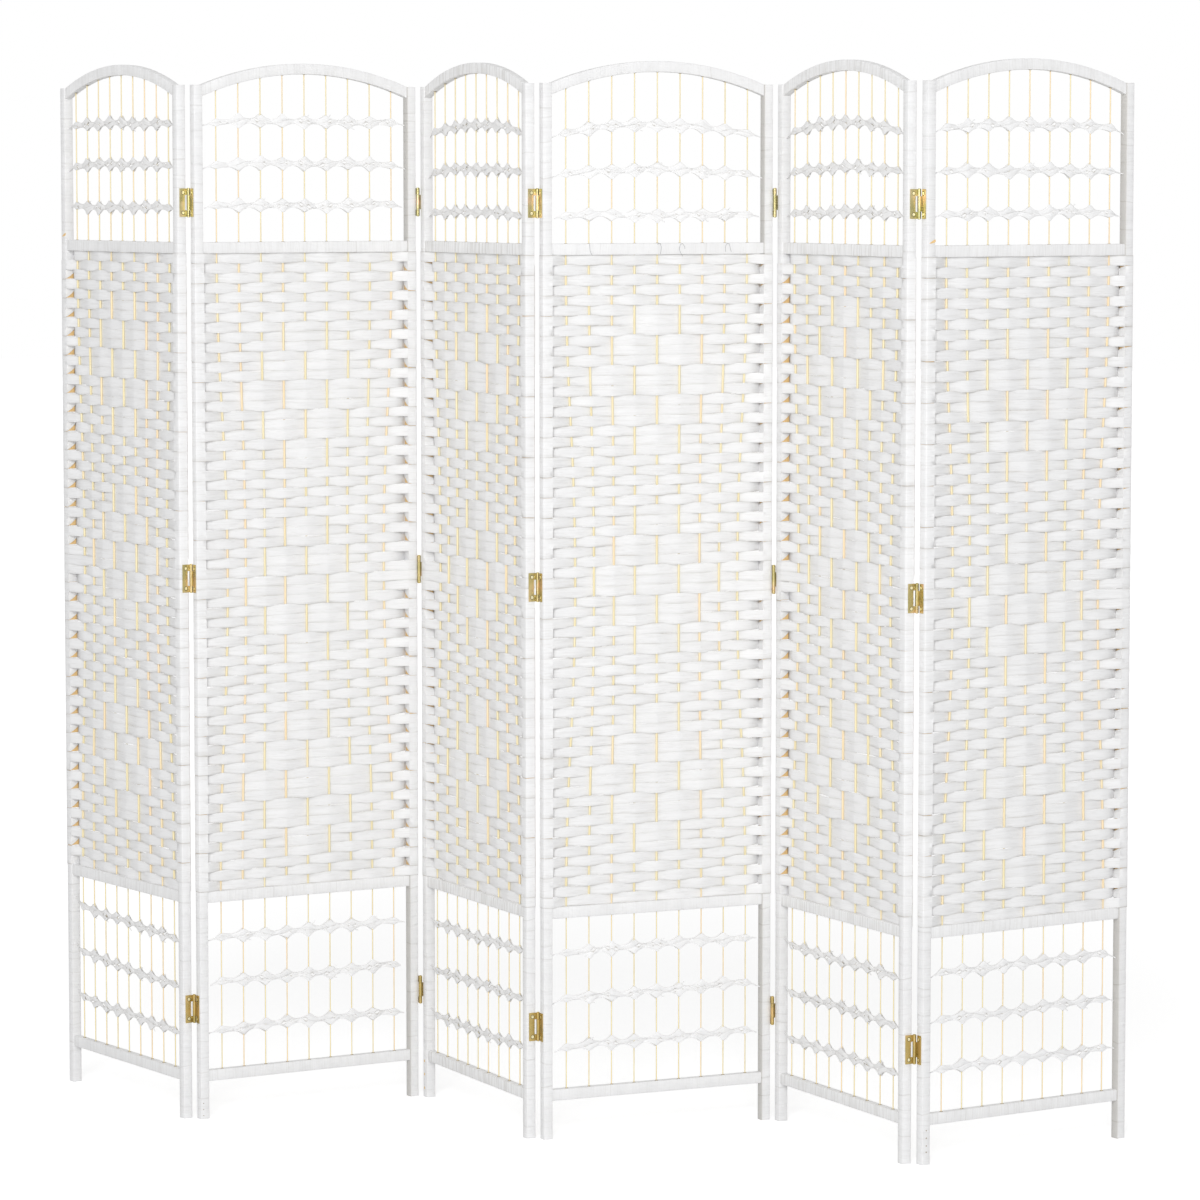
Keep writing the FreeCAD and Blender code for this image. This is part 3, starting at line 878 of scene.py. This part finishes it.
def foot_spots(panel):
    """Small spots up the front of a foot, where a panel has them."""
    if panel.number not in FOOT_SPOTS:
        return
    pile = Pile()
    look, inset, radius, heights = FOOT_SPOTS[panel.number]
    angles = circle(SPOT_SIDES)
    across = -panel.outer + inset + radius * np.cos(angles)
    depths = -panel.half_depth + np.array([[SPOT_DEPTH], [-SPOT_PROUD]])
    for height in heights:
        loops = joined(across, depths, height + radius * np.sin(angles))
        pile.tube(loops, [0.0, SPOT_DEPTH], angles * radius, 0.0)
    pile.build("foot_spots", panel, look)


def bare_wedge(panel):
    """A wedge of bare wood on a stile, where a panel has one."""
    if panel.number not in BARE_WEDGES:
        return
    pile = Pile()
    spots = np.array([-panel.outer + WEDGE_INSETS[0], -panel.inner - WEDGE_INSETS[1], -panel.inner])
    level = panel.rails[2][1] + BARE_WEDGES[panel.number] + WEDGE_SLOPE * (spots + panel.outer)
    depth = -panel.half_depth + np.array([WEDGE_DEPTH, WEDGE_DEPTH, -WEDGE_PROUD, -WEDGE_PROUD])
    up = np.array([-1, 1, 1, -1])
    loops = joined(spots[:, None], depth, level[:, None] + up * np.array(WEDGE_HALVES)[:, None])
    pile.tube(loops, spots, (up > 0) * WEDGE_INSETS[0], MIDDLE_TONE)
    pile.build("bare_wedge", panel, "wood")


def rail_threads(panel):
    """Loops of thread before the upper rail, on the panel that has them."""
    if panel.number != THREADED_PANEL:
        return
    pile = Pile()
    depth = -panel.rail_half_depth - 2 * THREAD_RADIUS
    for column, bends in THREADS.items():
        steps = np.linspace(0, len(bends) - 1, FEW * len(bends))
        across, rise = (np.interp(steps, range(len(bends)), line) / 1000 for line in zip(*bends))
        thread(pile, joined(panel.rods[column - 1] + across, depth, panel.rails[2][1] + rise))
    pile.build("rail_threads", panel, "thread")


def screw_shadow_rims(panel):
    """Dark ring of painted shade round the head of each hinge screw."""
    points = panel.points("hinge_screws")
    pile = Pile()
    angles = np.linspace(0, 2 * math.pi, RIM_STATIONS)
    for end in (-1, 1):
        on_edge = points[points[:, 0] * end > 0]
        for low, high in clusters(on_edge[:, 2]):
            screw = on_edge[(on_edge[:, 2] >= low) & (on_edge[:, 2] <= high)]
            depth = (screw[:, 1].min() + screw[:, 1].max()) / 2
            head = (high - low) / 2
            face = np.abs(screw[:, 0]).max()
            radius = head + RIM_WIDTH * np.array([0.0, 0.0, 1.0, 1.0])
            proud = np.array([-RIM_DEPTH, RIM_PROUD, RIM_PROUD, -RIM_DEPTH])
            ring_y = depth + np.cos(angles)[:, None] * radius
            ring_z = (low + high) / 2 + np.sin(angles)[:, None] * radius
            loops = joined(end * (face + proud), ring_y, ring_z)
            pile.tube(loops, angles * head, np.arange(4) * RIM_WIDTH, MIDDLE_TONE)
    pile.build("screw_shadow_rims", panel, "shade_rim")


class Nodes:
    """Short way to add and join shader nodes in one material or world."""

    def __init__(self, tree):
        self.tree = tree

    def add(self, kind, inputs=None, **settings):
        node = self.tree.nodes.new("ShaderNode" + kind)
        for name, value in settings.items():
            setattr(node, name, value)
        for socket, value in (inputs or {}).items():
            self.set(node.inputs[socket], value)
        return node

    def set(self, socket, value):
        if isinstance(value, bpy.types.NodeSocket):
            self.tree.links.new(value, socket)
        else:
            socket.default_value = value

    def told(self, name, output="Fac"):
        """What a piece tells its material at each point."""
        return self.add("Attribute", attribute_name=name).outputs[output]

    def noise(self, vector, stretch, detail):
        """Noise over a vector, with so many features to a metre along each of its axes."""
        mapping = self.add("Mapping", {"Vector": vector, "Scale": stretch})
        sockets = {"Vector": mapping.outputs[0], "Scale": 1.0, "Detail": detail, "Roughness": 0.55}
        return self.add("TexNoise", sockets).outputs["Fac"]

    def ramp(self, value, stops):
        node = self.add("ValToRGB", {"Fac": value})
        elements = node.color_ramp.elements
        while len(elements) < len(stops):
            elements.new(0.5)
        for element, (place, colour) in zip(elements, stops):
            element.position = place
            element.color = (*colour, 1.0)
        return node.outputs["Color"]

    def mix(self, amount, first, second):
        return self.add("Mix", {0: amount, 6: first, 7: second}, data_type="RGBA").outputs[2]

    def math(self, operation, first, second):
        return self.add("Math", {0: first, 1: second}, operation=operation).outputs[0]

    def span(self, value, low, high, to_low, to_high):
        """A value's way from low to high, as the way between two other values."""
        sockets = {"Value": value, "From Min": low, "From Max": high, "To Min": to_low, "To Max": to_high}
        return self.add("MapRange", sockets).outputs[0]

    def dress(self, shader, colour, rough, bump):
        """Sets a shader's colour, its roughness by noise, middle and swing, and its bump."""
        noise, middle, swing = rough
        self.set(shader.inputs["Base Color"], colour)
        self.set(shader.inputs["Roughness"], self.span(noise, 0.3, 0.7, middle - swing, middle + swing))
        node = self.add("Bump", dict(zip(("Strength", "Distance", "Height"), bump)))
        self.set(shader.inputs["Normal"], node.outputs[0])


def new_material(name):
    """A new material, its nodes and its shader."""
    material = bpy.data.materials.new(name)
    material.use_nodes = True
    shader = material.node_tree.nodes["Principled BSDF"]
    return material, Nodes(material.node_tree), shader


def paper(name, levels, streak_and_shade_colour, shade_amount, roughness, streaks=0.0):
    """Pressed paper strip between two levels of white: fine fibres, some long creases darkened by painted
    shade, and greyer edges in painted shade.
    """
    material, nodes, shader = new_material(name)
    white, shade = ((level, level, level + 0.005, 1.0) for level in levels)
    fibre = nodes.told("fibre", "Vector")
    tone = nodes.told("tone")
    painted_shade = nodes.told("painted_shade")
    fine = nodes.noise(fibre, (55.0, 1500.0, 40.0), detail=5.0)
    long_fold = nodes.noise(fibre, (11.0, 520.0, 25.0), detail=2.0)
    off_fold = nodes.math("ABSOLUTE", nodes.math("SUBTRACT", long_fold, 0.5), 0.0)
    fold_line = nodes.span(off_fold, 0.0, 0.025, 1.0, 0.0)
    blotch = nodes.noise(fibre, (9.0, 30.0, 13.0), detail=3.0)
    colour = nodes.mix(nodes.span(blotch, 0.3, 0.7, 0.0, 1.0), white, shade)
    colour = nodes.mix(nodes.span(tone, 0.0, 1.0, 0.35, 0.0), colour, shade)
    streak = nodes.noise(fibre, (16.0, 380.0, 20.0), detail=2.0)
    colour = nodes.mix(nodes.span(streak, 0.45, 0.7, 0.0, streaks), colour, streak_and_shade_colour)
    # Painted shade in the long creases, besides their bump, and wherever a piece's painted shade asks for
    # it
    colour = nodes.mix(nodes.math("MULTIPLY", fold_line, 0.16), colour, streak_and_shade_colour)
    colour = nodes.mix(nodes.math("MULTIPLY", painted_shade, shade_amount), colour, streak_and_shade_colour)
    height = nodes.math("SUBTRACT", fine, nodes.math("MULTIPLY", fold_line, 0.8))
    nodes.dress(shader, colour, (fine, roughness, 0.07), (0.45, 0.0004, height))
    return material


def grained(name, stops, warm, roughness, grain):
    """Bare cane or wood: lengthwise grain between two tones, warmer in places."""
    material, nodes, shader = new_material(name)
    fibre = nodes.told("fibre", "Vector")
    tone = nodes.told("tone")
    streak = nodes.noise(fibre, grain, detail=5.0)
    colour = nodes.ramp(nodes.span(streak, 0.25, 0.75, 0.0, 1.0), stops)
    colour = nodes.mix(nodes.span(tone, 0.45, 1.0, 0.0, 0.8), colour, warm)
    nodes.dress(shader, colour, (streak, roughness, 0.08), (0.35, 0.0003, streak))
    return material


def brass():
    """Plated brass: fine rolled lines, with smudges that dull it, and more amber on the lower hinges as a
    painted reflection.
    """
    material, nodes, shader = new_material("hinge_brass")
    place = nodes.add("TexCoord").outputs["Object"]
    smudge = nodes.noise(place, (90.0, 90.0, 60.0), detail=4.0)
    rolled = nodes.noise(place, (1500.0, 1500.0, 90.0), detail=3.0)
    tint = nodes.noise(place, (55.0, 55.0, 38.0), detail=2.0)
    greenish = [(0.25, (0.37, 0.37, 0.18)), (0.45, (0.48, 0.43, 0.21))]
    reddish = [(0.56, (0.63, 0.53, 0.30)), (0.72, (0.78, 0.52, 0.35))]
    colour = nodes.ramp(tint, greenish + reddish)
    # Painted reflection: the lower the hinge, the more amber its colour
    height = nodes.add("SeparateXYZ", {"Vector": place}).outputs["Z"]
    colour = nodes.mix(nodes.span(height, 0.4, 1.2, 0.65, 0.0), colour, (0.55, 0.36, 0.10, 1.0))
    colour = nodes.mix(nodes.span(smudge, 0.35, 0.7, 0.0, 0.55), colour, (0.31, 0.27, 0.11, 1.0))
    shader.inputs["Metallic"].default_value = 1.0
    nodes.dress(shader, colour, (smudge, 0.30, -0.08), (0.15, 0.0001, rolled))
    return material


def worn_metal(name, colour, worn, roughness):
    """Metal of small heads and rims: fine scratches, and patches of a second colour where it is worn."""
    material, nodes, shader = new_material(name)
    place = nodes.add("TexCoord").outputs["Object"]
    patch = nodes.noise(place, (600.0, 600.0, 600.0), detail=3.0)
    scratch = nodes.noise(place, (2500.0, 2500.0, 700.0), detail=2.0)
    patched = nodes.mix(nodes.span(patch, 0.35, 0.65, 0.0, 1.0), colour, worn)
    shader.inputs["Metallic"].default_value = 1.0
    nodes.dress(shader, patched, (patch, roughness, 0.06), (0.15, 0.0001, scratch))
    return material


def rail_paper(number, lap_and_shade):
    """Paper wound round one panel's rails and arch, more streaked on some panels than on others."""
    streaks = RAIL_STREAKS[number - 1]
    levels = (0.87 + 0.09 * streaks, 0.80 + 0.11 * streaks)
    return paper(f"rail_paper_{number}", levels, lap_and_shade, 0.35, 0.55, streaks)


def make_materials():
    """Every material of the screen, by a short name."""
    # Dark colours of the painted shade: one for the mat's paper, one for the wrapped paper's seams, streaks
    # and shaded faces
    painted_shade = (0.42, 0.39, 0.34, 1.0)
    lap_and_shade = (0.46, 0.44, 0.40, 1.0)
    cane = [(0.0, (0.73, 0.58, 0.29)), (0.5, (0.84, 0.74, 0.46)), (1.0, (0.91, 0.86, 0.64))]
    wood = [(0.0, (0.64, 0.40, 0.15)), (0.5, (0.80, 0.55, 0.25)), (1.0, (0.88, 0.68, 0.38))]
    seat = [(0.0, (0.25, 0.20, 0.13)), (0.5, (0.34, 0.28, 0.19)), (1.0, (0.45, 0.38, 0.27))]
    wood_grain = (18.0, 900.0, 31.0)
    return {
        "paper": paper("woven_paper", (0.87, 0.80), painted_shade, 0.9, 0.62),
        "band": paper("band_paper", (0.905, 0.85), painted_shade, 0.9, 0.62),
        # Painted light: the flaps' paper is whiter than the mat's, to brighten the pockets where they fold
        "painted_light_flap": paper("flap_paper_painted_light", (0.96, 0.92), painted_shade, 0.5, 0.62),
        "wrap": paper("wrapped_paper", (0.87, 0.80), lap_and_shade, 0.35, 0.55),
        **{f"rail_{number}": rail_paper(number, lap_and_shade) for number in range(1, PANEL_COUNT + 1)},
        "thread": paper("grey_thread", (0.31, 0.27), (0.20, 0.20, 0.20, 1.0), 0.5, 0.7),
        "cane": grained("split_cane", cane, (0.90, 0.70, 0.46, 1.0), 0.42, (22.0, 1700.0, 31.0)),
        "wood": grained("bare_wood", wood, (0.82, 0.54, 0.24, 1.0), 0.55, wood_grain),
        "seat": grained("rod_seat", seat, (0.34, 0.28, 0.19, 1.0), 0.6, wood_grain),
        "brass": brass(),
        "screw": worn_metal("screw_brass", (0.87, 0.83, 0.59, 1.0), (0.76, 0.69, 0.43, 1.0), 0.3),
        # The ring round each screw head is painted shade, in dark metal
        "shade_rim": worn_metal("screw_shadow_rim", (0.10, 0.09, 0.04, 1.0), (0.17, 0.14, 0.07, 1.0), 0.5),
    }


def hinges(panel):
    """The hinges keep their solids, in plated brass with paler screws."""
    for kind, look in (("hinge_leaves", "brass"), ("hinge_screws", "screw"), ("hinge_pins", "brass")):
        node = frame["nodes"].get(f"{kind}_{panel.number}")
        if node:
            node.data.materials.clear()
            node.data.materials.append(panel.materials[look])


def whiten(nodes, lit, shown):
    """White for what the camera, a mirror or glass sees, and the lit shader for all other rays."""
    path = nodes.add("LightPath")
    seen = nodes.math("MAXIMUM", path.outputs["Is Camera Ray"], path.outputs["Is Glossy Ray"])
    seen = nodes.math("MAXIMUM", seen, path.outputs["Is Transmission Ray"])
    mix = nodes.add("MixShader", {0: seen, 1: lit.outputs[0], 2: shown.outputs[0]})
    output = next(node for node in nodes.tree.nodes if node.type.startswith("OUTPUT"))
    nodes.set(output.inputs["Surface"], mix.outputs[0])


def look_along(item, direction):
    """Turns a lamp or a camera to look along a direction."""
    item.rotation_euler = direction.to_track_quat("-Z", "Y").to_euler()


def surroundings():
    """White surroundings that glow evenly."""
    world = bpy.data.worlds.new("studio")
    bpy.context.scene.world = world
    world.use_nodes = True
    nodes = Nodes(world.node_tree)
    ambient = nodes.add("Background", {"Color": WHITE, "Strength": AMBIENT})
    backdrop = nodes.add("Background", {"Color": WHITE, "Strength": 1.0})
    whiten(nodes, ambient, backdrop)


def pale_floor():
    """Pale floor that keeps the screen's shadow."""
    mesh = bpy.data.meshes.new("floor")
    signs = ((-1, -1), (1, -1), (1, 1), (-1, 1))
    mesh.from_pydata([(FLOOR_HALF * x, FLOOR_HALF * y, 0.0) for x, y in signs], [], [(0, 1, 2, 3)])
    floor = in_scene("floor", mesh)
    material, nodes, _ = new_material("pale_floor")
    plain = nodes.add("BsdfDiffuse", {"Color": FLOOR_COLOUR})
    place = nodes.add("NewGeometry").outputs["Position"]
    distance = nodes.add("VectorMath", {0: place}, operation="LENGTH").outputs["Value"]
    strength = nodes.span(distance, *FLOOR_FADE, *FLOOR_GLOW)
    glow = nodes.add("Emission", {"Color": WHITE, "Strength": strength})
    bright = nodes.add("AddShader", {0: plain.outputs[0], 1: glow.outputs[0]})
    whiten(nodes, plain, bright)
    mesh.materials.append(material)


def key_lamp():
    """Soft lamp before the screen."""
    data = bpy.data.lights.new("key", "AREA")
    data.size = KEY_SIZE
    data.energy = KEY_POWER
    lamp = in_scene("key", data)
    lamp.location = KEY_PLACE
    look_along(lamp, Vector(KEY_AIM) - lamp.location)


def camera():
    """Camera where the photograph was taken from."""
    data = bpy.data.cameras.new("camera")
    data.sensor_width = SENSOR_WIDTH
    data.lens = CAMERA_FOCAL_PIXELS / PHOTO_WIDTH * SENSOR_WIDTH
    item = in_scene("camera", data)
    item.location = CAMERA_PLACE
    yaw = math.radians(CAMERA_YAW)
    tilt = math.radians(CAMERA_TILT)
    level = Vector((-math.sin(yaw), math.cos(yaw), 0.0)) * math.cos(tilt)
    look_along(item, level - Vector((0.0, 0.0, math.sin(tilt))))
    bpy.context.scene.camera = item


bpy.context.scene.view_settings.view_transform = "Standard"
FRAME_PARTS = [stiles, rails_and_arch, rods, rod_seats]
WOVEN_PARTS = [woven_strips, twisted_bands]
SMALL_PARTS = [hinges, screw_shadow_rims, foot_spots, bare_wedge, rail_threads]
materials = make_materials()
for number in range(1, PANEL_COUNT + 1):
    panel = Panel(number, materials)
    for part in FRAME_PARTS + WOVEN_PARTS + SMALL_PARTS:
        part(panel)
surroundings()
pale_floor()
key_lamp()
camera()
